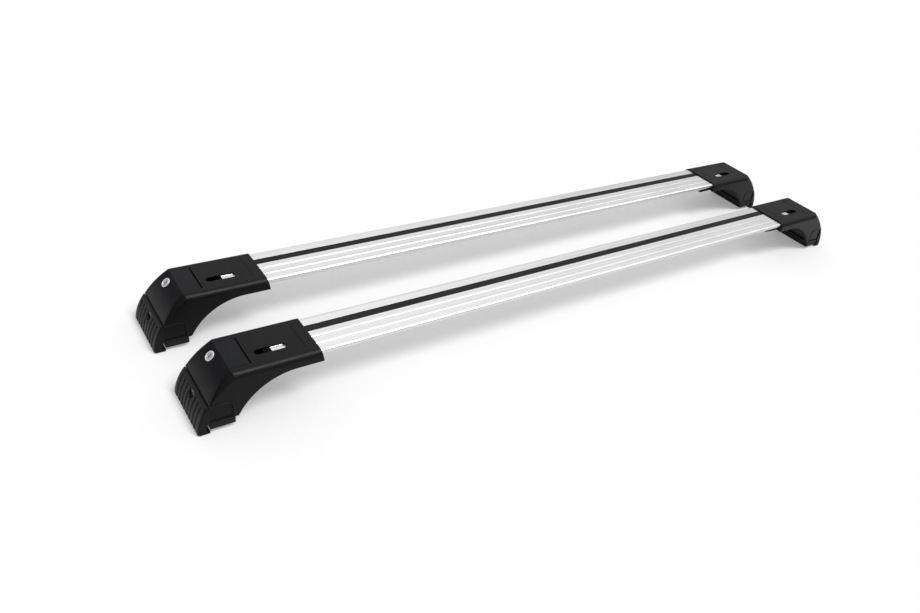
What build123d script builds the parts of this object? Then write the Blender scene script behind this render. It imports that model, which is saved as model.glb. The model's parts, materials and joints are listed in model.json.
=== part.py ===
from build123d import *
import os
from math import asin, atan2, cos, radians, sin, sqrt

# A pair of roof crossbars for flush side rails, lying as they stand on a floor.
# X runs along the bars, Y from the front bar to the rear bar, Z up. The origin is on the
# floor, midway between the two bars and midway along them. All sizes are millimetres.

# The pair
bar_length = 917.0
bar_spacing = 147.0
bar_grip = 47.5

# Aluminium bar
bar_width = 62.0
bar_depth = 22.2
bar_rim = 4.2
bar_rim_radius = 3.0
bar_keel = 19.0
bar_keel_radius = 3.0
bar_wall = 2.0
bar_web = 1.8
strip_width = 11.2
strip_centre = 10.55
strip_sink = 0.1
strip_fit = 0.05
channel_width = 15.0
channel_height = 6.0
channel_lip = 2.0
keel_slot = 7.0
keel_channel_width = 13.0
keel_channel_height = 5.0
flute_places = (-5.0, -17.8)
flute_width = 1.0
flute_depth = 0.4

# Foot moulding, measured outwards from the end where the bar goes in
foot_top = 66.3
roof_skin = 1.8
slide_gap = 0.3
foot_wall = 3.0
foot_base_width = 78.0
foot_top_width = 68.8
foot_edge_radius = 8.5
foot_round = 0.8
end_lean = 3.0
slope_radius_middle = 5.0
slope_radius_low = 1.0
slope_cut = 3.0
roof_length = 99.0
front_reach = 125.4
front_height = 34.8
front_bulge = 2.4
rim_height = 52.5
arch_to_front = 96.4
arch_radius = 75.0
arch_rim = 3.0
arch_rise = 1.6
base_height = 13.0
socket_depth = 68.0
trough_wall = 3.0
window_start = 31.0
window_length = 36.0
window_width = 9.1
window_centre = -8.85
step_place = 13.0
step_width = 44.0
step_groove = 0.8
step_depth = 0.35
side_step_length = 24.4
side_step_top = 33.0
side_step_depth = 1.2
side_step_radius = 5.0
side_bead = 0.6
side_bead_width = 1.5

# Lock cover and its hinge
cover_wall = 2.6
cover_gap = 0.6
cover_tab_width = 45.4
cover_foot_width = 64.0
cover_seat = 2.2
cover_seat_gap = 0.3
cover_seat_thick = 2.0
hinge_place = 78.6
knuckle_radius = 4.0
knuckle_gap = 0.45
cover_swing = 75.0
pin_diameter = 3.0
pin_fit = 0.04
pin_press = 0.02
lug_width = 5.0
lug_length = 10.0

# Lock
lock_side = 12.0
lock_below_crease = 10.5
barrel_diameter = 12.0
barrel_length = 14.0
barrel_press = 0.05
barrel_proud = 0.4
lock_ring = 1.6
lock_ring_depth = 0.9
lock_boss_wall = 2.4
lock_boss_length = 9.0
plug_diameter = 8.6
plug_fit = 0.05
plug_sink = 0.4
plug_tail_diameter = 6.0
key_slot_length = 5.6
key_slot_width = 1.4
key_slot_depth = 3.0
cam_thick = 2.0
cam_gap = 0.3
cam_hub_radius = 5.0
cam_arm = 12.5
cam_arm_width = 6.0
keeper_gap = 1.0
keeper_thick = 3.0
keeper_width = 9.0
keeper_catch = 3.5

# Clamp jaw, its bolt and nut
jaw_gap = 0.4
jaw_top = 33.0
jaw_top_thick = 2.6
jaw_foot_depth = 13.2
jaw_bulge = 2.4
jaw_edge_radius = 3.0
jaw_foot_radius = 1.6
jaw_hook_height = 3.2
jaw_hook_nose = 1.4
jaw_recess = 3.8
jaw_recess_top = 12.0
jaw_ribs = 8
jaw_rib_pitch = 8.0
jaw_flute_radius = 3.0
jaw_flute_depth = 0.9
jaw_plain_rim = 3.0
liner_thick = 2.4
liner_end_gap = 3.0
liner_height_gap = 0.4
guide_width = 26.0
guide_height = 11.0
guide_length = 12.0
guide_gap = 0.3
guide_radius = 2.0
tunnel_wall = 2.4
tunnel_length = 8.0
bolt_height = 26.0
bolt_diameter = 5.0
bolt_hole_gap = 0.25
bolt_nut_fit = 0.08
bolt_head_diameter = 8.5
bolt_head_height = 5.0
bolt_head_gap = 0.45
bolt_length = 29.0
bolt_seat = 1.8
hex_across = 4.0
hex_depth = 2.5
washer_diameter = 9.0
washer_thick = 1.0
nut_side = 13.0
nut_thick = 6.0
nut_wall_thick = 4.0
nut_wall_top = 34.0
nut_back = 17.4
nut_cheek = 2.5
nut_play = 0.2

# Rail pad
pad_length = 27.0
pad_bottom = 3.5
pad_inset = 1.0
pad_edge = 1.2
peg_diameter = 5.0
peg_height = 2.5
peg_fit = 0.05
peg_side = 20.0

# Bar bolts and their slide nut
bar_bolt_places = (9.0, 24.0)
bar_bolt_diameter = 6.0
bar_bolt_gap = 0.3
bar_bolt_press = 0.05
bar_bolt_head_diameter = 10.5
bar_bolt_head_height = 3.3
bar_bolt_head_edge = 0.8
bar_bolt_tip_gap = 0.6
bar_hex_across = 4.0
bar_hex_depth = 2.0
plate_end = 6.0
plate_gap = 0.4

# Levels and places that follow from the sizes above
bar_top = foot_top - roof_skin - slide_gap
bar_bottom = bar_top - bar_depth
foot_place = bar_length / 2 - bar_grip
arch_start = front_reach - arch_to_front
draft_tan = (foot_base_width - foot_top_width) / 2 / foot_top
keel_channel_bottom = bar_bottom + channel_lip
keel_channel_top = keel_channel_bottom + keel_channel_height
trough_bottom = bar_bottom - slide_gap - trough_wall
reach = bar_length / 2


def arc_centre(start, end, bulge):
    """Centre and radius of the arc that bulges outwards and upwards by bulge over its chord."""
    half = sqrt((end[0] - start[0]) ** 2 + (end[1] - start[1]) ** 2) / 2
    radius = (half ** 2 + bulge ** 2) / (2 * bulge)
    along = ((end[0] - start[0]) / (2 * half), (end[1] - start[1]) / (2 * half))
    inward = (along[1], -along[0])
    middle = ((start[0] + end[0]) / 2, (start[1] + end[1]) / 2)
    depth = radius - bulge
    return (middle[0] + inward[0] * depth, middle[1] + inward[1] * depth), radius


front_centre, front_radius = arc_centre((roof_length, foot_top), (front_reach, front_height), front_bulge)
crease_angle = atan2(roof_length - front_centre[0], foot_top - front_centre[1])
lock_angle = crease_angle + lock_below_crease / front_radius
lock_out = (sin(lock_angle), cos(lock_angle))
jaw_back = front_reach + jaw_gap
jaw_shoulder = (jaw_back + jaw_top_thick, jaw_top)
jaw_toe = (jaw_back + jaw_foot_depth, 0.0)
jaw_centre, jaw_radius = arc_centre(jaw_shoulder, jaw_toe, jaw_bulge)
pin_height = foot_top - knuckle_radius
cavity_start = socket_depth + foot_wall
nut_wall_place = front_reach - nut_back
pad_place = front_reach - pad_length


def slab(x0, x1, y0, y1, z0, z1):
    """A block between two corners."""
    block = Box(x1 - x0, y1 - y0, z1 - z0)
    return Pos((x0 + x1) / 2, (y0 + y1) / 2, (z0 + z1) / 2) * block


def across(face, y0, y1):
    """A side outline drawn in X and Z, carried across the foot from y0 to y1."""
    return extrude(Plane((0, y0, 0), x_dir=(1, 0, 0), z_dir=(0, -1, 0)) * face, -(y1 - y0))


def along(face, x0, x1):
    """A section drawn in Y and Z, carried along the bar from x0 to x1."""
    return extrude(Plane((x0, 0, 0), x_dir=(0, 1, 0), z_dir=(1, 0, 0)) * face, x1 - x0)


def rod_x(radius, x0, x1, y, z):
    """A round bar parallel to X."""
    return along(Pos(y, z) * Circle(radius), x0, x1)


def rod_y(radius, x, z, y0, y1):
    """A round bar parallel to Y."""
    return across(Pos(x, z) * Circle(radius), y0, y1)


def lock_plane(depth):
    """Plane across the lock axis, this deep under the cover's face, with its x down the slope."""
    level = front_radius - depth
    place = (front_centre[0] + lock_out[0] * level, lock_side, front_centre[1] + lock_out[1] * level)
    return Plane(place, x_dir=(lock_out[1], 0, -lock_out[0]), z_dir=(lock_out[0], 0, lock_out[1]))


def lock_rod(radius, top, bottom):
    """A round bar on the lock axis between two depths."""
    return extrude(lock_plane(bottom) * Circle(radius), bottom - top)


def bar_outline(grow=0.0):
    """Bar section: flat top with rounded rims, flanks that slope down to a narrow keel."""
    half = bar_width / 2
    rim_bottom = bar_top - bar_rim
    keel = bar_keel / 2
    points = [(-half, bar_top), (half, bar_top), (half, rim_bottom), (keel, bar_bottom), (-keel, bar_bottom),
              (-half, rim_bottom)]
    face = make_face(Polyline(*points, close=True))
    face = fillet(face.vertices().group_by(Axis.Y)[0], bar_keel_radius)
    face = fillet(face.vertices().group_by(Axis.Y)[-1], bar_rim_radius)
    return offset(face, grow, kind=Kind.INTERSECTION) if grow else face


def rectangle(y0, y1, z0, z1):
    """An upright rectangle in a section."""
    return Pos((y0 + y1) / 2, (z0 + z1) / 2) * Rectangle(y1 - y0, z1 - z0)


def bar():
    """Hollow extrusion with a strip channel in its top and a nut channel in its keel."""
    outline = bar_outline()
    left = strip_centre - channel_width / 2
    right = strip_centre + channel_width / 2
    channel_top = bar_top - channel_lip
    channel_bottom = channel_top - channel_height
    nut_half = keel_channel_width / 2
    channel_box = rectangle(left - bar_web, right + bar_web, channel_bottom - bar_web, bar_top)
    keel_box = rectangle(-nut_half - bar_web, nut_half + bar_web, bar_bottom, keel_channel_top + bar_web)
    strut = rectangle(-nut_half - bar_web, -nut_half, keel_channel_bottom, bar_top)
    link = rectangle(nut_half, nut_half + bar_web, keel_channel_bottom, channel_bottom)
    hollow = bar_outline(-bar_wall)
    section = outline - (hollow - channel_box - keel_box - strut - link)
    section -= rectangle(left, right, channel_bottom, channel_top)
    section -= rectangle(strip_centre - strip_width / 2, strip_centre + strip_width / 2, channel_top, bar_top)
    section -= rectangle(-nut_half, nut_half, keel_channel_bottom, keel_channel_top)
    section -= rectangle(-keel_slot / 2, keel_slot / 2, bar_bottom, keel_channel_bottom)
    for place in flute_places:
        groove = Polyline((place - flute_width / 2, bar_top), (place + flute_width / 2, bar_top),
                          (place, bar_top - flute_depth), close=True)
        section -= make_face(groove)
    return along(section, -bar_length / 2, bar_length / 2)


def strip():
    """Rubber infill: a flush head in the slot and a wider foot held under the lips."""
    top = bar_top - strip_sink
    lips = bar_top - channel_lip - strip_fit
    floor = bar_top - channel_lip - channel_height + strip_fit
    head_half = strip_width / 2 - strip_fit
    foot_half = channel_width / 2 - strip_fit
    profile = rectangle(strip_centre - head_half, strip_centre + head_half, floor, top)
    profile += rectangle(strip_centre - foot_half, strip_centre + foot_half, floor, lips)
    hollow_top = floor + channel_height / 2
    profile -= rectangle(strip_centre - head_half / 2, strip_centre + head_half / 2, floor, hollow_top)
    return along(profile, -bar_length / 2, bar_length / 2)


def side_outline(inset=0.0, rise=0.0):
    """Foot seen from the side, drawn inside its true outline by inset, and above its arch by rise as well."""
    roof = foot_top - inset
    front = front_reach - inset
    floor = base_height + inset
    bow = front_radius - inset
    arch = arch_radius + inset + rise
    arch_low = rim_height - arch_radius
    crease = front_centre[0] + sqrt(bow ** 2 - (roof - front_centre[1]) ** 2)
    front_top = front_centre[1] + sqrt(bow ** 2 - (front - front_centre[0]) ** 2)
    middle = (atan2(crease - front_centre[0], roof - front_centre[1])
              + atan2(front - front_centre[0], front_top - front_centre[1])) / 2
    bow_middle = (front_centre[0] + bow * sin(middle), front_centre[1] + bow * cos(middle))
    heel = arch_start + sqrt(arch ** 2 - (floor - arch_low) ** 2)
    arch_half = asin((heel - arch_start) / arch) / 2
    arch_middle = (arch_start + arch * sin(arch_half), arch_low + arch * cos(arch_half))
    rim = (arch_start, arch_low + arch)
    outline = Polyline((inset - end_lean, rim[1]), (inset, roof), (crease, roof))
    outline += ThreePointArc((crease, roof), bow_middle, (front, front_top))
    outline += Polyline((front, front_top), (front, floor), (heel, floor))
    outline += ThreePointArc((heel, floor), arch_middle, rim)
    outline += Line(rim, (inset - end_lean, rim[1]))
    return make_face(outline)


def foot_section(inset=0.0):
    """Foot seen along the bar: drafted walls and a broad round along each top edge."""
    low = foot_base_width / 2 - inset
    high = foot_top_width / 2 - inset
    roof = foot_top - inset
    points = [(-low, 0), (low, 0), (high + draft_tan * inset, roof), (-high - draft_tan * inset, roof)]
    face = make_face(Polyline(*points, close=True))
    top_corners = face.vertices().group_by(Axis.Y)[-1]
    return fillet(top_corners, max(foot_edge_radius - inset, foot_round))


def foot_form(inset=0.0, rise=0.0):
    """Outer form of the foot, or the same form shrunk by inset."""
    body = across(side_outline(inset, rise), -reach / 2, reach / 2)
    return body & along(foot_section(inset), -reach, reach)


def cover_plan(grow=0.0):
    """Prism over the cover's outline seen from above: a tab at the hinge, flaring down the slope."""
    tab = cover_tab_width / 2 + grow
    foot = cover_foot_width / 2 + grow
    end = front_reach + reach / 10
    flare = (foot - tab) / (front_reach - roof_length)
    wide = foot + flare * (end - front_reach)
    points = [(hinge_place, -tab), (roof_length, -tab), (end, -wide),
              (end, wide), (roof_length, tab), (hinge_place, tab)]
    return extrude(make_face(Polyline(*points, close=True)), reach)


def foot_body():
    """Moulded foot: socket for the bar, hollow leg for the clamp, opening for the lock cover."""
    body = fillet(foot_form().edges().filter_by(lambda edge: edge.center().X < foot_round), foot_round)
    soffit_half = foot_base_width / 2 - draft_tan * rim_height - arch_rim
    soffit = across(side_outline() - side_outline(0.0, arch_rise), -soffit_half, soffit_half)
    body -= soffit & slab(-reach, front_reach, -soffit_half, soffit_half, base_height + arch_rim, foot_top)
    for side in (-1, 1):
        body -= slope_round(side)
    trough_drop = trough_bottom - rim_height + arch_radius
    trough_end = arch_start + sqrt((arch_radius + arch_rise) ** 2 - trough_drop ** 2)
    trough = along(bar_outline(slide_gap + trough_wall), 0, trough_end)
    body += trough & slab(0, trough_end, -reach, reach, 0, bar_top - bar_rim)
    cavity = foot_form(foot_wall, arch_rise) & slab(cavity_start, front_reach, -reach, reach, 0, reach)
    body -= cavity
    body -= along(bar_outline(slide_gap), -reach, socket_depth)
    body -= cover_opening()
    body += cover_ledge()
    body += nut_bracket()
    body += jaw_tunnel()
    body += keeper()
    body -= knuckle_room()
    for side in (-1, 1):
        body += hinge_lug(side)
    bore = pin_diameter / 2 + pin_press
    body -= rod_y(bore, hinge_place, pin_height, -pin_half(), foot_base_width)
    body -= window()
    body -= border_groove()
    body += side_beads()
    body -= side_steps()
    body -= rod_x(bolt_diameter / 2 + bolt_hole_gap, nut_wall_place - nut_thick, front_reach, 0, bolt_height)
    body -= guide_block(guide_gap, guide_length + guide_gap, jaw_gap)
    for place in bar_bolt_places:
        bolt_hole = Pos(place, 0) * Circle(bar_bolt_diameter / 2 + bar_bolt_gap)
        body -= extrude(bolt_hole, bar_top - bar_rim)
    for side in (-1, 1):
        peg_hole = Pos(pad_middle(), side * peg_side) * Circle(peg_diameter / 2 + peg_fit)
        body -= extrude(peg_hole, base_height + peg_height)
    return body


def slope_round(side):
    """What rounds one long edge of the slope: broad at the crease, fading out towards the jaw."""
    low_angle = atan2(front_reach - front_centre[0], front_height - front_centre[1])
    radii = (foot_edge_radius, slope_radius_middle, slope_radius_low)
    sections = []
    for number, radius in enumerate(radii):
        angle = crease_angle + (low_angle - crease_angle) * number / (len(radii) - 1)
        place = (front_centre[0] + front_radius * sin(angle), 0, front_centre[1] + front_radius * cos(angle))
        half = foot_base_width / 2 - draft_tan * place[2]
        wall = half + draft_tan * radius
        outline = Line((wall, -radius), (wall + slope_cut, -radius))
        outline += Polyline((wall + slope_cut, -radius), (wall + slope_cut, slope_cut),
                            (half - radius, slope_cut), (half - radius, 0))
        bend = (half - radius + radius * sin(radians(45)), -radius + radius * cos(radians(45)))
        outline += ThreePointArc((half - radius, 0), bend, (wall, -radius))
        plane = Plane(place, x_dir=(0, 1, 0), z_dir=(cos(angle), 0, -sin(angle)))
        sections.append(plane * make_face(outline))
    waste = loft(sections)
    return waste if side > 0 else waste.mirror(Plane.XZ)


def cover_side(low):
    """The cover's side of the foot, down to this height at the front, clear of the arch."""
    knuckle_low = pin_height - knuckle_radius
    outline = Polyline((hinge_place, foot_top), (front_reach, foot_top), (front_reach, low),
                       (front_reach - 2 * cover_wall, low), (hinge_place, knuckle_low), close=True)
    return across(make_face(outline), -reach / 2, reach / 2)


def cover_opening():
    """What the cover's outline removes from the shell, above the wall behind the jaw."""
    return cover_plan(cover_gap) & cover_side(jaw_top)


def cover_ledge():
    """Narrow shelf under both long edges of the cover."""
    upper = foot_form(cover_wall + cover_seat_gap)
    lower = foot_form(cover_wall + cover_seat_gap + cover_seat_thick)
    frame = cover_plan(cover_gap + foot_wall) - cover_plan(-cover_seat)
    low = jaw_top - cover_seat_thick
    span = slab(hinge_place + lug_length / 2, front_reach, -reach, reach, low, reach)
    return (upper - lower) & frame & span


def nut_bracket():
    """Cross wall that takes the pull of the bolt, with a pocket that keeps the nut from turning."""
    half = nut_side / 2 + nut_play
    low = base_height + foot_wall / 2
    inner_half = foot_base_width / 2 - draft_tan * nut_wall_top - foot_wall / 2
    wall = slab(nut_wall_place, nut_wall_place + nut_wall_thick, -inner_half, inner_half, low, nut_wall_top)
    back = nut_wall_place - nut_thick
    cheek_half = half + nut_cheek
    cheeks = slab(back, nut_wall_place, -cheek_half, cheek_half, low, bolt_height + half)
    pocket = slab(back, nut_wall_place, -half, half, bolt_height - half, foot_top)
    return wall + (cheeks - pocket)


def guide_block(grow, length, start):
    """Rounded block behind the jaw, or the hole for it, reaching inwards from the jaw's back."""
    face = RectangleRounded(guide_width + 2 * grow, guide_height + 2 * grow, guide_radius + grow)
    return along(Pos(0, bolt_height) * face, jaw_back - length, jaw_back - jaw_gap + start)


def jaw_tunnel():
    """Short tunnel behind the front wall that guides the block of the jaw."""
    grow = guide_gap + tunnel_wall
    face = RectangleRounded(guide_width + 2 * grow, guide_height + 2 * grow, guide_radius + grow)
    tunnel = along(Pos(0, bolt_height) * face, front_reach - tunnel_length, front_reach - foot_wall / 2)
    under_cover = tunnel & foot_form(cover_wall + 2 * cover_seat_gap)
    return under_cover + (tunnel & slab(0, reach, -reach, reach, 0, jaw_top))


def keeper():
    """Rib on the side wall that the lock's cam turns behind."""
    top = barrel_length + cam_gap - keeper_gap - keeper_thick
    arm_end = lock_side + cam_arm
    wall = foot_base_width / 2 - draft_tan * front_height - foot_wall / 2
    rib = Rectangle(keeper_width, wall - arm_end + keeper_catch)
    shift = arm_end - keeper_catch - lock_side + (wall - arm_end + keeper_catch) / 2
    block = extrude(lock_plane(top + keeper_thick) * Pos(0, shift) * rib, keeper_thick)
    return block & foot_form(foot_wall / 2)


def pin_half():
    """Half the length of the hinge pin."""
    return cover_tab_width / 2 + cover_gap + lug_width


def knuckle_room():
    """Round clearance in the roof for the cover's knuckle, relieved where the open cover leans back."""
    half = cover_tab_width / 2 + cover_gap
    room = knuckle_radius + knuckle_gap
    swing = radians(cover_swing)
    lip = (room - knuckle_radius * cos(swing)) / sin(swing)
    rest = (hinge_place - room * sin(swing), pin_height + room * cos(swing))
    relief = Polyline((hinge_place, pin_height), rest, (hinge_place - lip, foot_top),
                      (hinge_place, foot_top), close=True)
    return rod_y(room, hinge_place, pin_height, -half, half) + across(make_face(relief), -half, half)


def hinge_lug(side):
    """Block under the roof that carries one end of the hinge pin."""
    inner = cover_tab_width / 2 + cover_gap
    low = pin_height - knuckle_radius - pin_diameter / 2
    y0, y1 = sorted((side * inner, side * (inner + lug_width)))
    lug = slab(hinge_place - lug_length / 2, hinge_place + lug_length / 2, y0, y1, low, foot_top)
    return lug & foot_form(foot_wall / 2)


def window():
    """Round-ended window in the roof that shows where the bar ends."""
    slot = SlotOverall(window_length, window_width)
    place = Pos(window_start + window_length / 2, window_centre, bar_top - bar_rim / 2)
    return extrude(place * slot, foot_top)


def border_groove():
    """Fine line across the roof that sets off the end of the foot."""
    half = step_width / 2
    return slab(step_place, step_place + step_groove, -half, half, foot_top - step_depth, foot_top + 1)


def side_panel(grow, low):
    """Outline of the lower side panel behind the jaw, with one rounded corner."""
    panel = rectangle(front_reach - side_step_length - grow, front_reach, low, side_step_top + grow)
    return fillet(panel.vertices().group_by(Axis.Y)[-1].sort_by(Axis.X)[0], side_step_radius + grow)


def side_steps():
    """Shallow recess in the lower part of both side walls, above a narrow lip."""
    panel = across(side_panel(0.0, base_height + side_bead_width), -reach / 2, reach / 2)
    return panel - along(foot_section(side_step_depth), -reach, reach)


def side_beads():
    """Low bead round the recess of each side wall, along the lip as well."""
    skin = along(foot_section(-side_bead), -reach, reach)
    skin -= along(foot_section(side_step_depth), -reach, reach)
    return skin & across(side_panel(side_bead_width, base_height), -reach / 2, reach / 2)


def pad_middle():
    """Middle of the rail pad along the foot."""
    return pad_place + pad_length / 2


def lock_cover():
    """Hinged cover: a tab on the roof, a bowed face over the slope, a knuckle and a boss for the lock."""
    shell = foot_form() - foot_form(cover_wall)
    cover = shell & cover_plan() & cover_side(front_height)
    half = cover_tab_width / 2
    cover += rod_y(knuckle_radius, hinge_place, pin_height, -half, half)
    hole = barrel_diameter / 2 + barrel_press
    cover += lock_rod(hole + lock_boss_wall, cover_wall / 2, cover_wall + lock_boss_length)
    cover -= lock_rod(hole, -cover_wall, barrel_length * 2)
    cover -= lock_rod(hole + lock_ring, -cover_wall, lock_ring_depth)
    cover -= rod_y(pin_diameter / 2 + pin_fit, hinge_place, pin_height, -reach / 2, reach / 2)
    return cover


def cover_hinge_pin():
    """Plain steel pin through the cover's knuckle into both lugs."""
    return rod_y(pin_diameter / 2, hinge_place, pin_height, -pin_half(), pin_half())


def lock_barrel():
    """Plated sleeve of the lock, with a small bevel round its face."""
    sleeve = lock_rod(barrel_diameter / 2, -barrel_proud, barrel_length)
    sleeve -= lock_rod(plug_diameter / 2 + plug_fit, -barrel_proud * 2, barrel_length * 2)
    return sleeve


def lock_plug():
    """Turning core with its key slot, stepped down where the cam sits."""
    face = plug_sink - barrel_proud
    shoulder = barrel_length + cam_gap
    plug = lock_rod(plug_diameter / 2, face, shoulder)
    plug += lock_rod(plug_tail_diameter / 2, shoulder, shoulder + cam_thick)
    slot = SlotOverall(key_slot_length, key_slot_width)
    plug -= extrude(lock_plane(face + key_slot_depth) * slot, key_slot_depth * 2)
    return plug


def lock_cam():
    """Flat cam on the tail of the plug, lying down the slope while the lock is open."""
    top = barrel_length + cam_gap
    blade = Pos(cam_arm / 2, 0) * Rectangle(cam_arm, cam_arm_width) + Circle(cam_hub_radius)
    blade -= Circle(plug_tail_diameter / 2)
    return extrude(lock_plane(top + cam_thick) * blade, cam_thick)


def jaw_outline():
    """Clamp jaw seen from the side: bowed face, hook at the toe and a recess for the liner."""
    heel = jaw_back + jaw_recess
    middle_angle = (atan2(jaw_shoulder[0] - jaw_centre[0], jaw_shoulder[1] - jaw_centre[1])
                    + atan2(jaw_toe[0] - jaw_centre[0], jaw_toe[1] - jaw_centre[1])) / 2
    middle = (jaw_centre[0] + jaw_radius * sin(middle_angle),
              jaw_centre[1] + jaw_radius * cos(middle_angle))
    outline = Polyline((jaw_back, jaw_top), jaw_shoulder)
    outline += ThreePointArc(jaw_shoulder, middle, jaw_toe)
    outline += Polyline(jaw_toe, (jaw_back + jaw_hook_nose, 0), (jaw_back, jaw_hook_nose),
                        (jaw_back, jaw_hook_height), (heel, jaw_hook_height), (heel, jaw_recess_top),
                        (jaw_back, jaw_recess_top), (jaw_back, jaw_top))
    return make_face(outline)


def clamp_jaw():
    """Ribbed jaw with the guide block and the bolt's counterbore."""
    jaw = across(jaw_outline(), -reach / 2, reach / 2) & along(foot_section(), -reach, reach)
    face_edges = jaw.faces().filter_by(GeomType.CYLINDER).sort_by(Axis.X)[-1].edges()
    side_edges = face_edges.filter_by(lambda edge: abs(edge.center().Y) > foot_top_width / 4)
    jaw = fillet(side_edges, jaw_edge_radius)
    toe = jaw.edges().filter_by(Axis.Y).sort_by(Axis.Z)[:2].sort_by(Axis.X)[-1]
    jaw = fillet(toe, jaw_foot_radius)
    for number in range(jaw_ribs):
        side = (number - (jaw_ribs - 1) / 2) * jaw_rib_pitch
        jaw -= jaw_flute(side)
    jaw += guide_block(0.0, guide_length, jaw_gap + jaw_top_thick / 2)
    head_hole = bolt_head_diameter / 2 + bolt_head_gap
    seat = jaw_back - bolt_seat
    jaw -= rod_x(head_hole, seat, jaw_toe[0] + 1, 0, bolt_height)
    jaw -= rod_x(bolt_diameter / 2 + bolt_hole_gap, jaw_back - guide_length * 2, jaw_toe[0], 0, bolt_height)
    return jaw


def jaw_flute(side):
    """One rounded groove down the jaw's face, below its plain top rim."""
    ring_radius = jaw_radius + jaw_flute_radius - jaw_flute_depth
    centre = (jaw_centre[0], side, jaw_centre[1])
    groove = Plane(centre, x_dir=(1, 0, 0), z_dir=(0, 0, 1)) * Pos(ring_radius, 0)
    ring = revolve(groove * Circle(jaw_flute_radius), Axis(centre, (0, 1, 0)))
    return ring & slab(jaw_back, reach, -reach, reach, -1, jaw_top - jaw_plain_rim)


def jaw_liner():
    """Rubber strip in the jaw's recess that bears on the rail's edge."""
    heel = jaw_back + jaw_recess
    half = foot_base_width / 2 - draft_tan * jaw_recess_top - liner_end_gap
    low = jaw_hook_height + liner_height_gap
    return slab(heel - liner_thick, heel, -half, half, low, jaw_recess_top - liner_height_gap)


def hex_pocket(across_flats):
    """Hexagon for a key."""
    return RegularPolygon(across_flats / 2, 6, major_radius=False)


def clamp_bolt():
    """Socket-head bolt that draws the jaw in."""
    seat = jaw_back - bolt_seat + washer_thick
    top = seat + bolt_head_height
    bolt = rod_x(bolt_head_diameter / 2, seat, top, 0, bolt_height)
    bolt += rod_x(bolt_diameter / 2, seat - washer_thick - bolt_length, seat, 0, bolt_height)
    bolt -= along(Pos(0, bolt_height) * hex_pocket(hex_across), top - hex_depth, top + 1)
    return bolt


def bolt_washer():
    """Washer under the head of the clamp bolt."""
    seat = jaw_back - bolt_seat
    ring = Circle(washer_diameter / 2) - Circle(bolt_diameter / 2 + bolt_hole_gap)
    return along(Pos(0, bolt_height) * ring, seat, seat + washer_thick)


def clamp_nut():
    """Square nut in the pocket of the foot."""
    face = Rectangle(nut_side, nut_side) - Circle(bolt_diameter / 2 + bolt_nut_fit)
    return along(Pos(0, bolt_height) * face, nut_wall_place - nut_thick, nut_wall_place)


def base_pad():
    """Rubber pad under the foot, held by two pegs."""
    block = slab(pad_place, front_reach, -reach / 2, reach / 2, pad_bottom, base_height)
    pad = block & along(foot_section(pad_inset), -reach, reach)
    pad = chamfer(pad.edges().group_by(Axis.Z)[0], pad_edge)
    for side in (-1, 1):
        peg = Cylinder(peg_diameter / 2, peg_height, align=(Align.CENTER, Align.CENTER, Align.MIN))
        pad += Pos(pad_middle(), side * peg_side, base_height) * peg
    return pad


def bar_bolts():
    """The two bolts that clamp the foot to the bar from below."""
    head_low = trough_bottom - bar_bolt_head_height
    tip = keel_channel_top - bar_bolt_tip_gap
    bolts = []
    for place in bar_bolt_places:
        head = extrude(Pos(place, 0, head_low) * Circle(bar_bolt_head_diameter / 2), bar_bolt_head_height)
        head = fillet(head.edges().group_by(Axis.Z)[0], bar_bolt_head_edge)
        shank = extrude(Pos(place, 0, trough_bottom) * Circle(bar_bolt_diameter / 2), tip - trough_bottom)
        key = extrude(Pos(place, 0, head_low - 1) * hex_pocket(bar_hex_across), bar_hex_depth + 1)
        bolts.append(head + shank - key)
    return Compound(bolts)


def slide_nut():
    """Threaded plate that runs in the bar's keel channel."""
    half = keel_channel_width / 2 - plate_gap
    low = keel_channel_bottom + slide_gap
    high = keel_channel_top - plate_gap
    first, last = bar_bolt_places[0] - plate_end, bar_bolt_places[-1] + plate_end
    plate = slab(first, last, -half, half, low, high)
    for place in bar_bolt_places:
        plate -= Pos(place, 0, low) * Cylinder(bar_bolt_diameter / 2 + bar_bolt_press, foot_top)
    return plate


foot_pieces = {
    "foot_body": foot_body,
    "lock_cover": lock_cover,
    "cover_hinge_pin": cover_hinge_pin,
    "lock_barrel": lock_barrel,
    "lock_plug": lock_plug,
    "lock_cam": lock_cam,
    "clamp_jaw": clamp_jaw,
    "jaw_liner": jaw_liner,
    "clamp_bolt": clamp_bolt,
    "bolt_washer": bolt_washer,
    "clamp_nut": clamp_nut,
    "base_pad": base_pad,
    "bar_bolts": bar_bolts,
    "slide_nut": slide_nut,
}

os.makedirs("parts", exist_ok=True)
bar_solid = bar()
strip_solid = strip()
right_pieces = {name: make() for name, make in foot_pieces.items()}
left_pieces = {name: piece.mirror(Plane.YZ) for name, piece in right_pieces.items()}
for row, row_place in (("front", -bar_spacing / 2), ("rear", bar_spacing / 2)):
    export_step(Pos(0, row_place, 0) * bar_solid, f"parts/{row}_bar.step")
    export_step(Pos(0, row_place, 0) * strip_solid, f"parts/{row}_strip.step")
    for name in foot_pieces:
        export_step(Pos(-foot_place, row_place, 0) * left_pieces[name], f"parts/{row}_left_{name}.step")
        export_step(Pos(foot_place, row_place, 0) * right_pieces[name], f"parts/{row}_right_{name}.step")
print("overall length", round(2 * (foot_place + jaw_toe[0]), 2))
lock_face = lock_plane(0).origin
print("lock axis", [round(value, 5) for value in lock_out])
print("lock place", round(lock_face.X, 3), round(lock_face.Z, 3))
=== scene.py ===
# %% [markdown]
# # A pair of roof crossbars
# Two flat aluminium bars with a rubber strip, each held by two black moulded feet that clamp
# onto a car's flush side rails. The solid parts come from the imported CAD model, so their
# shapes and places are already right. This lesson adds the finishes, the few pieces whose
# real surface is finer than a plain solid, and the light that the pair is seen in.

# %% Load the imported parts
import bpy
import json
import math
import numpy as np
from mathutils import Matrix, Vector


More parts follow.
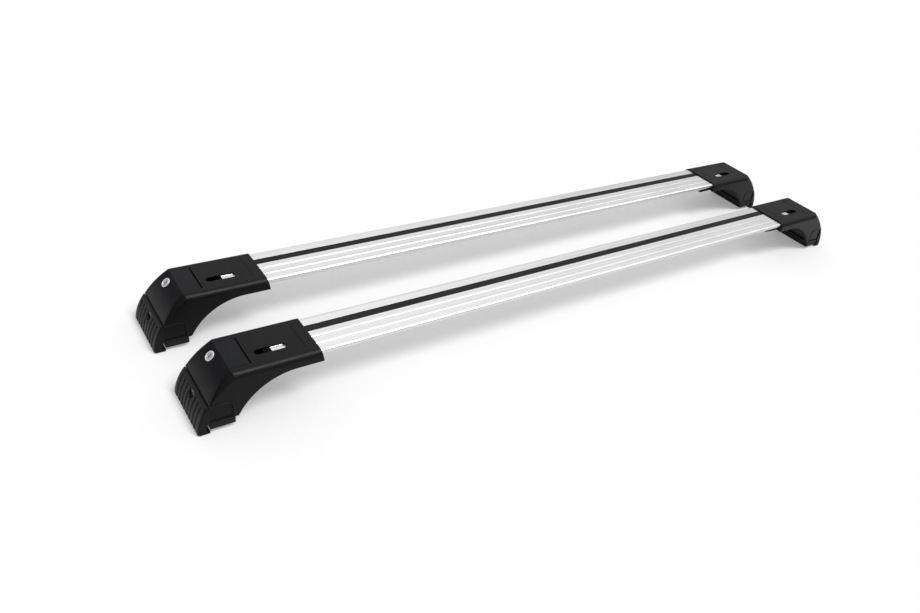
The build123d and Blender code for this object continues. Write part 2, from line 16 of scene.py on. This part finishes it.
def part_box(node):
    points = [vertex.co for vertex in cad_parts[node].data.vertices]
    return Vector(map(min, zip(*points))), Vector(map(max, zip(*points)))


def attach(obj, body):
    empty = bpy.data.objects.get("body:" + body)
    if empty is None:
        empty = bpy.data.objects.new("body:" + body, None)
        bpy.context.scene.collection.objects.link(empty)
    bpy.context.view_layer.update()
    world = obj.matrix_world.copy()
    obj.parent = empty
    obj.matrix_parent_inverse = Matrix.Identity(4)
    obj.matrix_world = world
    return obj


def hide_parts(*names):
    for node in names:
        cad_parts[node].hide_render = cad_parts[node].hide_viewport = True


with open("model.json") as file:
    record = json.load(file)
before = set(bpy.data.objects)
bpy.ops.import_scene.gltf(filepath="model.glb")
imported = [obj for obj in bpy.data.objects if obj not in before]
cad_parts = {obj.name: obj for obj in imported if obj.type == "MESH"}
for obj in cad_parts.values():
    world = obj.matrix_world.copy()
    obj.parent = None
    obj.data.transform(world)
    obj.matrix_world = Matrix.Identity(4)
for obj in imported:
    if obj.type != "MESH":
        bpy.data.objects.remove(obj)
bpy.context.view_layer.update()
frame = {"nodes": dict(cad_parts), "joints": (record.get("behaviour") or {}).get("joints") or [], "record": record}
ROWS = ("front", "rear")
FEET = [f"{row}_{side}" for row in ROWS for side in ("left", "right")]
MM = 0.001

# %% [markdown]
# ## From arrays to meshes
# Every new piece here is a grid of points: one direction of the grid runs round a profile and
# the other carries that profile along a path. A modifier stack could do this too, but a grid
# says exactly where each point is, and numpy works it out in one step for all of them.

# %% Grid helper
def grid_piece(name, points, close_path, cap_ends=False):
    """Mesh of quads over points[path, profile, xyz]; the profile is always a closed loop."""
    steps, around = points.shape[:2]
    rows = np.arange(steps if close_path else steps - 1)
    across = np.arange(around)
    first = rows[:, None] * around + across
    second = rows[:, None] * around + (across + 1) % around
    following = ((rows + 1) % steps)[:, None] * around
    third = following + (across + 1) % around
    quads = np.stack([first, second, third, following + across], axis=-1)
    faces = quads.reshape(-1, 4).tolist()
    if cap_ends:
        faces.append(across[::-1].tolist())
        faces.append((across + (steps - 1) * around).tolist())
    mesh = bpy.data.meshes.new(name)
    mesh.from_pydata(points.reshape(-1, 3).tolist(), [], faces)
    mesh.update()
    piece = bpy.data.objects.new(name, mesh)
    bpy.context.scene.collection.objects.link(piece)
    print(name, "has", len(mesh.vertices), "points and", len(mesh.polygons), "faces")
    return piece


def smooth_sides(piece, degrees):
    """Shade smooth, and keep edges sharper than this angle crisp."""
    piece.data.shade_smooth()
    piece.data.set_sharp_from_angle(angle=math.radians(degrees))

# %% [markdown]
# ## Rubber strips
# The strip in the top of each bar is an extruded rubber profile. Its head is slightly crowned
# and finely ribbed along its length, so a load doesn't creep, and its wider foot is held under
# the lips of the channel. The ribs could be painted on with a bump map, but then the cut ends
# would look flat. So the true profile is drawn as a closed loop in Y and Z and carried along X.

# %% Ribbed strip profile
RIB_COUNT = 6
RIB_DEPTH = 0.35 * MM
STRIP_CROWN = 0.15 * MM
HEAD_WIDTH = 11.1 * MM
LIP_DROP = 2.05 * MM


def strip_profile(low, high):
    """Loop of y, z: z = top - crown * u^2 - rib * (1 - cos) / 2 over the head, then the foot."""
    middle = (low.y + high.y) / 2
    u = np.linspace(-1, 1, RIB_COUNT * 12 + 1)
    ribs = RIB_DEPTH * (1 + np.cos(np.pi * RIB_COUNT * (u + 1))) / 2
    head_y = middle + u * HEAD_WIDTH / 2
    head_z = high.z - STRIP_CROWN * u ** 2 - ribs
    neck = high.z - LIP_DROP + 0.1 * MM
    right = middle + HEAD_WIDTH / 2
    left = middle - HEAD_WIDTH / 2
    foot_y = [right, high.y, high.y, low.y, low.y, left]
    foot_z = [neck, neck, low.z, low.z, neck, neck]
    return np.concatenate([head_y, foot_y]), np.concatenate([head_z, foot_z])


def ribbed_strip(row):
    low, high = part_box(f"{row}_strip")
    y, z = strip_profile(low, high)
    path = np.linspace(low.x, high.x, 25)
    points = np.empty((len(path), len(y), 3))
    points[..., 0] = path[:, None]
    points[..., 1] = y
    points[..., 2] = z
    strip = grid_piece(f"{row}_ribbed_strip", points[::-1], close_path=False, cap_ends=True)
    smooth_sides(strip, 40)
    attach(strip, "bars")
    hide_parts(f"{row}_strip")
    return strip


strips = [ribbed_strip(row) for row in ROWS]

# %% [markdown]
# ## Lock sleeves
# The lock in each cover is a turned and plated sleeve round a plug. Its lip is rolled over, so
# it catches the light as a thin bright ring. A revolve of one small section gives that ring:
# the section is a closed loop of radius and height, and the path is a full turn about the axis
# of the lock, which the joint in the record already gives.

# %% Rolled lock sleeve
SLEEVE_OUTER = 6.0 * MM
SLEEVE_INNER = 4.35 * MM
SLEEVE_PROUD = 0.4 * MM
SLEEVE_LENGTH = 14.0 * MM
LIP_RADIUS = 0.5 * MM
joints = {joint["name"]: joint for joint in frame["joints"]}


def sleeve_section():
    """Loop of radius and height: bore, quarter round inner lip, face, quarter round outer lip."""
    turn = np.linspace(0, math.pi / 2, 7)
    inner_r = SLEEVE_INNER + LIP_RADIUS * (1 - np.cos(turn))
    inner_h = SLEEVE_PROUD - LIP_RADIUS * (1 - np.sin(turn))
    outer_r = SLEEVE_OUTER - LIP_RADIUS * (1 - np.sin(turn))
    outer_h = SLEEVE_PROUD - LIP_RADIUS * (1 - np.cos(turn))
    radius = np.concatenate([[SLEEVE_INNER], inner_r, outer_r, [SLEEVE_OUTER]])
    height = np.concatenate([[-SLEEVE_LENGTH], inner_h, outer_h, [-SLEEVE_LENGTH]])
    return radius, height


def lock_sleeve(foot):
    joint = joints[f"{foot}_lock_turn"]
    axis = Vector(joint["axis"]) * (1 if joint["axis"][2] > 0 else -1)
    axis.normalize()
    side = Vector((0, 1, 0))
    other = axis.cross(side)
    radius, height = sleeve_section()
    turn = np.linspace(0, 2 * math.pi, 72, endpoint=False)
    rim = np.cos(turn)[:, None] * np.array(side) + np.sin(turn)[:, None] * np.array(other)
    points = (np.array(joint["pos_m"]) + rim[:, None, :] * radius[:, None]
              + height[:, None] * np.array(axis))
    sleeve = grid_piece(f"{foot}_rolled_sleeve", points, close_path=True)
    smooth_sides(sleeve, 40)
    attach(sleeve, f"{foot}_cover")
    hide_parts(f"{foot}_lock_barrel")
    return sleeve


sleeves = [lock_sleeve(foot) for foot in FEET]

# %% [markdown]
# ## Shared effects for the finishes
# Three effects turn up in several finishes, so each is a node group that is built once. Grain
# is the fine eroded texture of a mould. Soft edge rounds the corners that a moulded or drawn
# part never leaves sharp, and gives a mask of them. Drawn lines are the faint streaks that a
# die leaves along an extrusion. Each group only puts out values that change over the surface;
# the shader itself stays in its material.

# %% Node helpers
def link_nodes(tree, source, output, target, socket):
    tree.links.new(source.outputs[output], target.inputs[socket])


def add_node(tree, kind, **settings):
    """Adds a node; settings whose names are node properties are set on it."""
    node = tree.nodes.new(kind)
    for name, value in settings.items():
        setattr(node, name, value)
    return node


def new_group(name, inputs, outputs):
    """Empty shader group with float or vector sockets, given as name: (type, default)."""
    group = bpy.data.node_groups.new(name, "ShaderNodeTree")
    for label, (kind, value) in inputs.items():
        socket = group.interface.new_socket(label, in_out="INPUT", socket_type=kind)
        if value is not None:
            socket.default_value = value
    for label, kind in outputs.items():
        group.interface.new_socket(label, in_out="OUTPUT", socket_type=kind)
    start = group.nodes.new("NodeGroupInput")
    end = group.nodes.new("NodeGroupOutput")
    return group, start, end

# %% Mould grain
FLOAT, VECTOR = "NodeSocketFloat", "NodeSocketVector"


def make_grain_group():
    """Height of a fine eroded mould surface, and a slow mottle for tone and gloss."""
    inputs = {"Scale": (FLOAT, 2500.0), "Mottle scale": (FLOAT, 60.0)}
    group, start, end = new_group("Mould grain", inputs, {"Height": FLOAT, "Mottle": FLOAT})
    place = add_node(group, "ShaderNodeTexCoord")
    fine = add_node(group, "ShaderNodeTexNoise")
    fine.inputs["Detail"].default_value = 3.0
    cells = add_node(group, "ShaderNodeTexVoronoi", feature="SMOOTH_F1")
    slow = add_node(group, "ShaderNodeTexNoise")
    slow.inputs["Detail"].default_value = 4.0
    mixed = add_node(group, "ShaderNodeMath", operation="ADD")
    for texture in (fine, cells, slow):
        link_nodes(group, place, "Object", texture, "Vector")
    for texture in (fine, cells):
        link_nodes(group, start, "Scale", texture, "Scale")
    link_nodes(group, start, "Mottle scale", slow, "Scale")
    link_nodes(group, fine, "Fac", mixed, 0)
    link_nodes(group, cells, "Distance", mixed, 1)
    link_nodes(group, mixed, 0, end, "Height")
    link_nodes(group, slow, "Fac", end, "Mottle")
    return group


grain_group = make_grain_group()
print("made group", grain_group.name)

# %% Soft edge
def make_edge_group():
    """Normal rounded over sharp corners, and Edge = 1 - dot of rounded and true normals."""
    inputs = {"Radius": (FLOAT, 0.0005)}
    group, start, end = new_group("Soft edge", inputs, {"Normal": VECTOR, "Edge": FLOAT})
    round_over = add_node(group, "ShaderNodeBevel", samples=6)
    shape = add_node(group, "ShaderNodeNewGeometry")
    likeness = add_node(group, "ShaderNodeVectorMath", operation="DOT_PRODUCT")
    edge = add_node(group, "ShaderNodeMapRange")
    edge.inputs["From Min"].default_value = 0.985
    edge.inputs["From Max"].default_value = 0.75
    link_nodes(group, start, "Radius", round_over, "Radius")
    link_nodes(group, round_over, "Normal", likeness, 0)
    link_nodes(group, shape, "Normal", likeness, 1)
    link_nodes(group, likeness, "Value", edge, "Value")
    link_nodes(group, round_over, "Normal", end, "Normal")
    link_nodes(group, edge, "Result", end, "Edge")
    return group


edge_group = make_edge_group()
print("made group", edge_group.name)

# %% Drawn lines
def make_drawn_group():
    """Noise that is drawn out along X: streaks of an extrusion, and a slow waviness."""
    inputs = {"Across": (FLOAT, 430.0), "Along": (FLOAT, 1.5)}
    group, start, end = new_group("Drawn lines", inputs, {"Lines": FLOAT, "Waves": FLOAT})
    place = add_node(group, "ShaderNodeTexCoord")
    stretch = add_node(group, "ShaderNodeCombineXYZ")
    scaled = add_node(group, "ShaderNodeVectorMath", operation="MULTIPLY")
    lines = add_node(group, "ShaderNodeTexNoise")
    lines.inputs["Scale"].default_value = 1.0
    lines.inputs["Detail"].default_value = 3.0
    waves = add_node(group, "ShaderNodeTexNoise")
    waves.inputs["Scale"].default_value = 14.0
    link_nodes(group, start, "Along", stretch, "X")
    link_nodes(group, start, "Across", stretch, "Y")
    link_nodes(group, start, "Across", stretch, "Z")
    link_nodes(group, place, "Object", scaled, 0)
    link_nodes(group, stretch, 0, scaled, 1)
    link_nodes(group, scaled, 0, lines, "Vector")
    link_nodes(group, place, "Object", waves, "Vector")
    link_nodes(group, lines, "Fac", end, "Lines")
    link_nodes(group, waves, "Fac", end, "Waves")
    return group


drawn_group = make_drawn_group()
print("made group", drawn_group.name)

# %% Material helpers
def new_finish(name):
    """Material with its own Principled shader."""
    finish = bpy.data.materials.new(name)
    finish.use_nodes = True
    tree = finish.node_tree
    return finish, tree, tree.nodes["Principled BSDF"]


def place_group(tree, group, **values):
    """Puts a group in a material; values name its inputs, with _ for a space."""
    node = add_node(tree, "ShaderNodeGroup", node_tree=group)
    for name, value in values.items():
        node.inputs[name.replace("_", " ")].default_value = value
    return node


def ramp(tree, source, output, low, high, low_in=0.0, high_in=1.0):
    """Map Range from a value to the span low to high."""
    node = add_node(tree, "ShaderNodeMapRange")
    limits = {"From Min": low_in, "From Max": high_in, "To Min": low, "To Max": high}
    for label, value in limits.items():
        node.inputs[label].default_value = value
    link_nodes(tree, source, output, node, "Value")
    return node


def blend_colours(tree, factor, first, second):
    """Mix of two colours by a value node; first may be a colour or the node of another mix."""
    node = add_node(tree, "ShaderNodeMix", data_type="RGBA")
    tree.links.new(factor, node.inputs["Factor"])
    if isinstance(first, tuple):
        node.inputs[6].default_value = (*first, 1)
    else:
        tree.links.new(first.outputs[2], node.inputs[6])
    node.inputs[7].default_value = (*second, 1)
    return node


def bump_over(tree, height, output, normal, strength, distance):
    """Bump node on top of the soft-edge normal."""
    node = add_node(tree, "ShaderNodeBump")
    node.inputs["Strength"].default_value = strength
    node.inputs["Distance"].default_value = distance
    link_nodes(tree, height, output, node, "Height")
    link_nodes(tree, normal, "Normal", node, "Normal")
    return node

# %% [markdown]
# ## Moulded plastics
# Foot, cover and jaw are the same black plastic from different moulds. The foot and jaw are
# satin and nearly black; the cover is a touch lighter. A plain dark colour would look like a
# hole in the picture, so the grain breaks up the gloss, the mottle shifts the tone a little,
# and the edges, where a hand or a tool rubs first, are slightly paler.

# %% Plastic finishes
def plastic(name, dark, pale, edge_tone, gloss, grain_scale, specular):
    finish, tree, shader = new_finish(name)
    grain = place_group(tree, grain_group, Scale=grain_scale, Mottle_scale=45.0)
    edge = place_group(tree, edge_group, Radius=0.0006)
    tone = blend_colours(tree, grain.outputs["Mottle"], dark, pale)
    rubbed = ramp(tree, edge, "Edge", 0.0, 0.7)
    worn = blend_colours(tree, rubbed.outputs[0], tone, edge_tone)
    sheen = ramp(tree, grain, "Mottle", gloss[0], gloss[1], 0.25, 0.75)
    relief = bump_over(tree, grain, "Height", edge, 0.35, 0.00012)
    tree.links.new(worn.outputs[2], shader.inputs["Base Color"])
    link_nodes(tree, sheen, "Result", shader, "Roughness")
    link_nodes(tree, relief, "Normal", shader, "Normal")
    shader.inputs["Specular IOR Level"].default_value = specular
    return finish


finishes = {
    "foot_plastic": plastic("Foot plastic", (0.0028, 0.0028, 0.0032), (0.0055, 0.0055, 0.006),
                            (0.022, 0.022, 0.023), (0.30, 0.42), 2600.0, 0.13),
    "cover_plastic": plastic("Cover plastic", (0.0042, 0.0046, 0.0055), (0.0075, 0.008, 0.0095),
                             (0.026, 0.027, 0.030), (0.32, 0.44), 3200.0, 0.12),
    "jaw_plastic": plastic("Jaw plastic", (0.005, 0.005, 0.0055), (0.009, 0.009, 0.0095),
                           (0.022, 0.022, 0.023), (0.36, 0.50), 2200.0, 0.12),
}
print("made", [finish.name for finish in finishes.values()])

# %% [markdown]
# ## Rubber
# The strips, the rail pads and the jaw liners are black rubber. Rubber scatters light more
# than the plastic does and collects a little dust, so it is rougher, and its slow mottle is
# stronger.

# %% Rubber finish
def rubber():
    finish, tree, shader = new_finish("Black rubber")
    grain = place_group(tree, grain_group, Scale=1500.0, Mottle_scale=25.0)
    edge = place_group(tree, edge_group, Radius=0.0004)
    tone = blend_colours(tree, grain.outputs["Mottle"],
                         (0.006, 0.006, 0.006), (0.013, 0.013, 0.0135))
    matt = ramp(tree, grain, "Mottle", 0.55, 0.75, 0.25, 0.75)
    relief = bump_over(tree, grain, "Height", edge, 0.4, 0.00015)
    tree.links.new(tone.outputs[2], shader.inputs["Base Color"])
    link_nodes(tree, matt, "Result", shader, "Roughness")
    link_nodes(tree, relief, "Normal", shader, "Normal")
    shader.inputs["Specular IOR Level"].default_value = 0.2
    return finish


finishes["rubber"] = rubber()

# %% [markdown]
# ## Metals
# The bars are drawn aluminium with a clear satin anodised skin: pale, soft in its reflections
# and lined along the drawing direction. The lock's sleeve is brightly plated round a greyer
# core, and the bolts and nuts are zinc-plated steel, greyer still and cloudier. Shade is painted
# into the narrow slots and gaps: an occlusion mask turns the plated colour nearly black there.

# %% Metal finishes
def anodised():
    finish, tree, shader = new_finish("Satin anodised aluminium")
    drawn = place_group(tree, drawn_group, Across=430.0, Along=1.5)
    edge = place_group(tree, edge_group, Radius=0.0005)
    tone = blend_colours(tree, drawn.outputs["Lines"], (0.61, 0.615, 0.62), (0.91, 0.91, 0.91))
    satin = ramp(tree, drawn, "Waves", 0.32, 0.42, 0.3, 0.7)
    relief = bump_over(tree, drawn, "Lines", edge, 0.12, 0.00006)
    tree.links.new(tone.outputs[2], shader.inputs["Base Color"])
    link_nodes(tree, satin, "Result", shader, "Roughness")
    link_nodes(tree, relief, "Normal", shader, "Normal")
    shader.inputs["Metallic"].default_value = 0.9
    return finish


# Reach and colour of the shade painted into the narrow slots and gaps of the plated parts.
PAINTED_SHADE_REACH = 2.5 * MM
PAINTED_SHADE_TONE = (0.012, 0.012, 0.013)


def plated(name, colour, cloud, rough, scale, metal):
    finish, tree, shader = new_finish(name)
    grain = place_group(tree, grain_group, Scale=scale, Mottle_scale=180.0)
    edge = place_group(tree, edge_group, Radius=0.0002)
    plain = blend_colours(tree, grain.outputs["Mottle"], colour, cloud)
    # Painted shade: ambient occlusion darkens the plated colour in slots and gaps, where shade falls.
    crevice_occlusion = add_node(tree, "ShaderNodeAmbientOcclusion")
    crevice_occlusion.inputs["Distance"].default_value = PAINTED_SHADE_REACH
    crevice_shade_mask = ramp(tree, crevice_occlusion, "AO", 1.0, 0.0, 0.35, 0.85)
    tone = blend_colours(tree, crevice_shade_mask.outputs[0], plain, PAINTED_SHADE_TONE)
    gloss = ramp(tree, grain, "Mottle", rough[0], rough[1], 0.25, 0.75)
    relief = bump_over(tree, grain, "Height", edge, 0.05, 0.00003)
    tree.links.new(tone.outputs[2], shader.inputs["Base Color"])
    link_nodes(tree, gloss, "Result", shader, "Roughness")
    link_nodes(tree, relief, "Normal", shader, "Normal")
    shader.inputs["Metallic"].default_value = metal
    return finish


finishes["anodised"] = anodised()
finishes["chrome"] = plated("Bright plating", (0.93, 0.93, 0.94), (0.97, 0.97, 0.97),
                            (0.36, 0.46), 900.0, 0.75)
finishes["plug"] = plated("Lock core plating", (0.70, 0.70, 0.71), (0.80, 0.80, 0.81),
                          (0.36, 0.46), 900.0, 0.75)
finishes["steel"] = plated("Zinc plated steel", (0.50, 0.51, 0.53), (0.64, 0.65, 0.67),
                           (0.26, 0.42), 1400.0, 1.0)

# %% Put the finishes on the parts
slot_of = {entry["node"]: entry["material_slot"] for entry in frame["record"]["subparts"]}
for name, node in frame["nodes"].items():
    finish = "plug" if name.endswith("_lock_plug") else slot_of[name]
    node.data.materials.clear()
    node.data.materials.append(finishes[finish])
for piece in strips:
    piece.data.materials.append(finishes["rubber"])
for piece in sleeves:
    piece.data.materials.append(finishes["chrome"])
print("finishes on", len(frame["nodes"]), "parts")

# %% [markdown]
# ## Floor, light and camera
# The pair stands on a white floor that runs out of sight, under one high soft lamp and a pale
# sky. The floor keeps the soft shadows under the bars. The sky is white to the camera. In
# reflections it is bright high up and darker to the left and low down, as in a studio with a
# light overhead, so the top of a foot is paler than its slope.

# %% Floor
FLOOR_HALF = 30.0
FLOOR_DROP = 0.3 * MM
corner = np.array([-FLOOR_HALF, FLOOR_HALF])
floor_x, floor_y = np.meshgrid(corner, corner)
floor_z = np.full_like(floor_x, -FLOOR_DROP)
floor_points = np.stack([floor_x, floor_y, floor_z], axis=-1).reshape(-1, 3)
floor_mesh = bpy.data.meshes.new("studio_floor")
floor_mesh.from_pydata(floor_points.tolist(), [], [(0, 1, 3, 2)])
floor = bpy.data.objects.new("studio_floor", floor_mesh)
bpy.context.scene.collection.objects.link(floor)
floor_paint, floor_tree, floor_shader = new_finish("White floor")
floor_shader.inputs["Base Color"].default_value = (0.93, 0.93, 0.93, 1)
floor_shader.inputs["Roughness"].default_value = 0.9
floor_shader.inputs["Specular IOR Level"].default_value = 0.0
floor_mesh.materials.append(floor_paint)


def seen_rays(tree):
    """1 for rays from the camera, from gloss or through glass, 0 for light that scatters."""
    rays = add_node(tree, "ShaderNodeLightPath")
    gloss = add_node(tree, "ShaderNodeMath", operation="MAXIMUM")
    seen = add_node(tree, "ShaderNodeMath", operation="MAXIMUM")
    link_nodes(tree, rays, "Is Glossy Ray", gloss, 0)
    link_nodes(tree, rays, "Is Transmission Ray", gloss, 1)
    link_nodes(tree, rays, "Is Camera Ray", seen, 0)
    link_nodes(tree, gloss, 0, seen, 1)
    return seen


FLOOR_LIFT = 0.26
floor_seen = seen_rays(floor_tree)
lift = ramp(floor_tree, floor_seen, 0, 0.0, FLOOR_LIFT)
white = add_node(floor_tree, "ShaderNodeEmission")
mixed = add_node(floor_tree, "ShaderNodeMixShader")
floor_tree.links.new(lift.outputs["Result"], mixed.inputs[0])
floor_tree.links.new(floor_shader.outputs[0], mixed.inputs[1])
floor_tree.links.new(white.outputs[0], mixed.inputs[2])
floor_tree.links.new(mixed.outputs[0], floor_tree.nodes["Material Output"].inputs["Surface"])
print("floor half", FLOOR_HALF, "m, lifted by", FLOOR_LIFT)

# %% Sky and lamp
sky = bpy.data.worlds.new("Studio sky")
sky.use_nodes = True
bpy.context.scene.world = sky
background = sky.node_tree.nodes["Background"]
background.inputs["Color"].default_value = (1, 1, 1, 1)
SKY_LIGHT = 0.58


def choose(tree, rays, kind, otherwise, chosen):
    """Value of one node for this kind of ray, and of the other node for the rest."""
    node = add_node(tree, "ShaderNodeMix", data_type="FLOAT")
    link_nodes(tree, rays, kind, node, "Factor")
    for socket, source in ((2, otherwise), (3, chosen)):
        if isinstance(source, float):
            node.inputs[socket].default_value = source
        else:
            tree.links.new(source.outputs[0], node.inputs[socket])
    return node


def light_sky(tree):
    """Even for scattered light, white to the camera, darker in gloss to the left and low down."""
    rays = add_node(tree, "ShaderNodeLightPath")
    way = add_node(tree, "ShaderNodeTexCoord")
    parts = add_node(tree, "ShaderNodeSeparateXYZ")
    studio = add_node(tree, "ShaderNodeMath", operation="MULTIPLY")
    link_nodes(tree, way, "Generated", parts, 0)
    low = ramp(tree, parts, "Z", 0.25, 1.25, 0.25, 0.62)
    left = ramp(tree, parts, "X", 0.25, 1.0, -0.9, 0.1)
    link_nodes(tree, low, "Result", studio, 0)
    link_nodes(tree, left, "Result", studio, 1)
    gloss = choose(tree, rays, "Is Glossy Ray", SKY_LIGHT, studio)
    seen = choose(tree, rays, "Is Camera Ray", gloss, 1.0)
    link_nodes(tree, seen, 0, background, "Strength")


light_sky(sky.node_tree)


def high_lamp(name, direction, spread, strength):
    """Sun lamp that shines from this direction; its spread softens the shadows' edges."""
    lamp = bpy.data.lights.new(name, "SUN")
    lamp.angle = math.radians(spread)
    lamp.energy = strength
    holder = bpy.data.objects.new(name, lamp)
    holder.rotation_euler = Vector(direction).to_track_quat("Z", "Y").to_euler()
    bpy.context.scene.collection.objects.link(holder)
    return holder


KEY_FROM, KEY_SPREAD, KEY_STRENGTH = (0.36, -0.44, 1.0), 22.0, 1.90
high_lamp("key_lamp", KEY_FROM, KEY_SPREAD, KEY_STRENGTH)
print("sky", SKY_LIGHT, "and one lamp of", KEY_STRENGTH)

# %% Camera
CAMERA_PLACE = (-0.7199, -0.6948, 0.6018)
YAW, PITCH, ROLL = (math.radians(angle) for angle in (39.678, 34.556, 10.136))
FOCAL_PIXELS, PICTURE_WIDTH, SENSOR = 779.209, 920.0, 36.0
ahead = math.cos(PITCH)
forward = Vector((math.sin(YAW) * ahead, math.cos(YAW) * ahead, -math.sin(PITCH)))
level = Vector((math.cos(YAW), -math.sin(YAW), 0))
upright = level.cross(forward)
right = math.cos(ROLL) * level + math.sin(ROLL) * upright
up = -math.sin(ROLL) * level + math.cos(ROLL) * upright
view = bpy.data.cameras.new("photo_view")
view.sensor_fit = "HORIZONTAL"
view.sensor_width = SENSOR
view.lens = FOCAL_PIXELS / PICTURE_WIDTH * SENSOR
view.clip_start = 0.01
camera = bpy.data.objects.new("photo_view", view)
turn = Matrix((right, up, -forward)).transposed().to_4x4()
camera.matrix_world = Matrix.Translation(CAMERA_PLACE) @ turn
bpy.context.scene.collection.objects.link(camera)
bpy.context.scene.camera = camera
bpy.context.scene.view_settings.view_transform = "Standard"
print("camera", [round(value, 3) for value in camera.location], "lens", round(view.lens, 2))
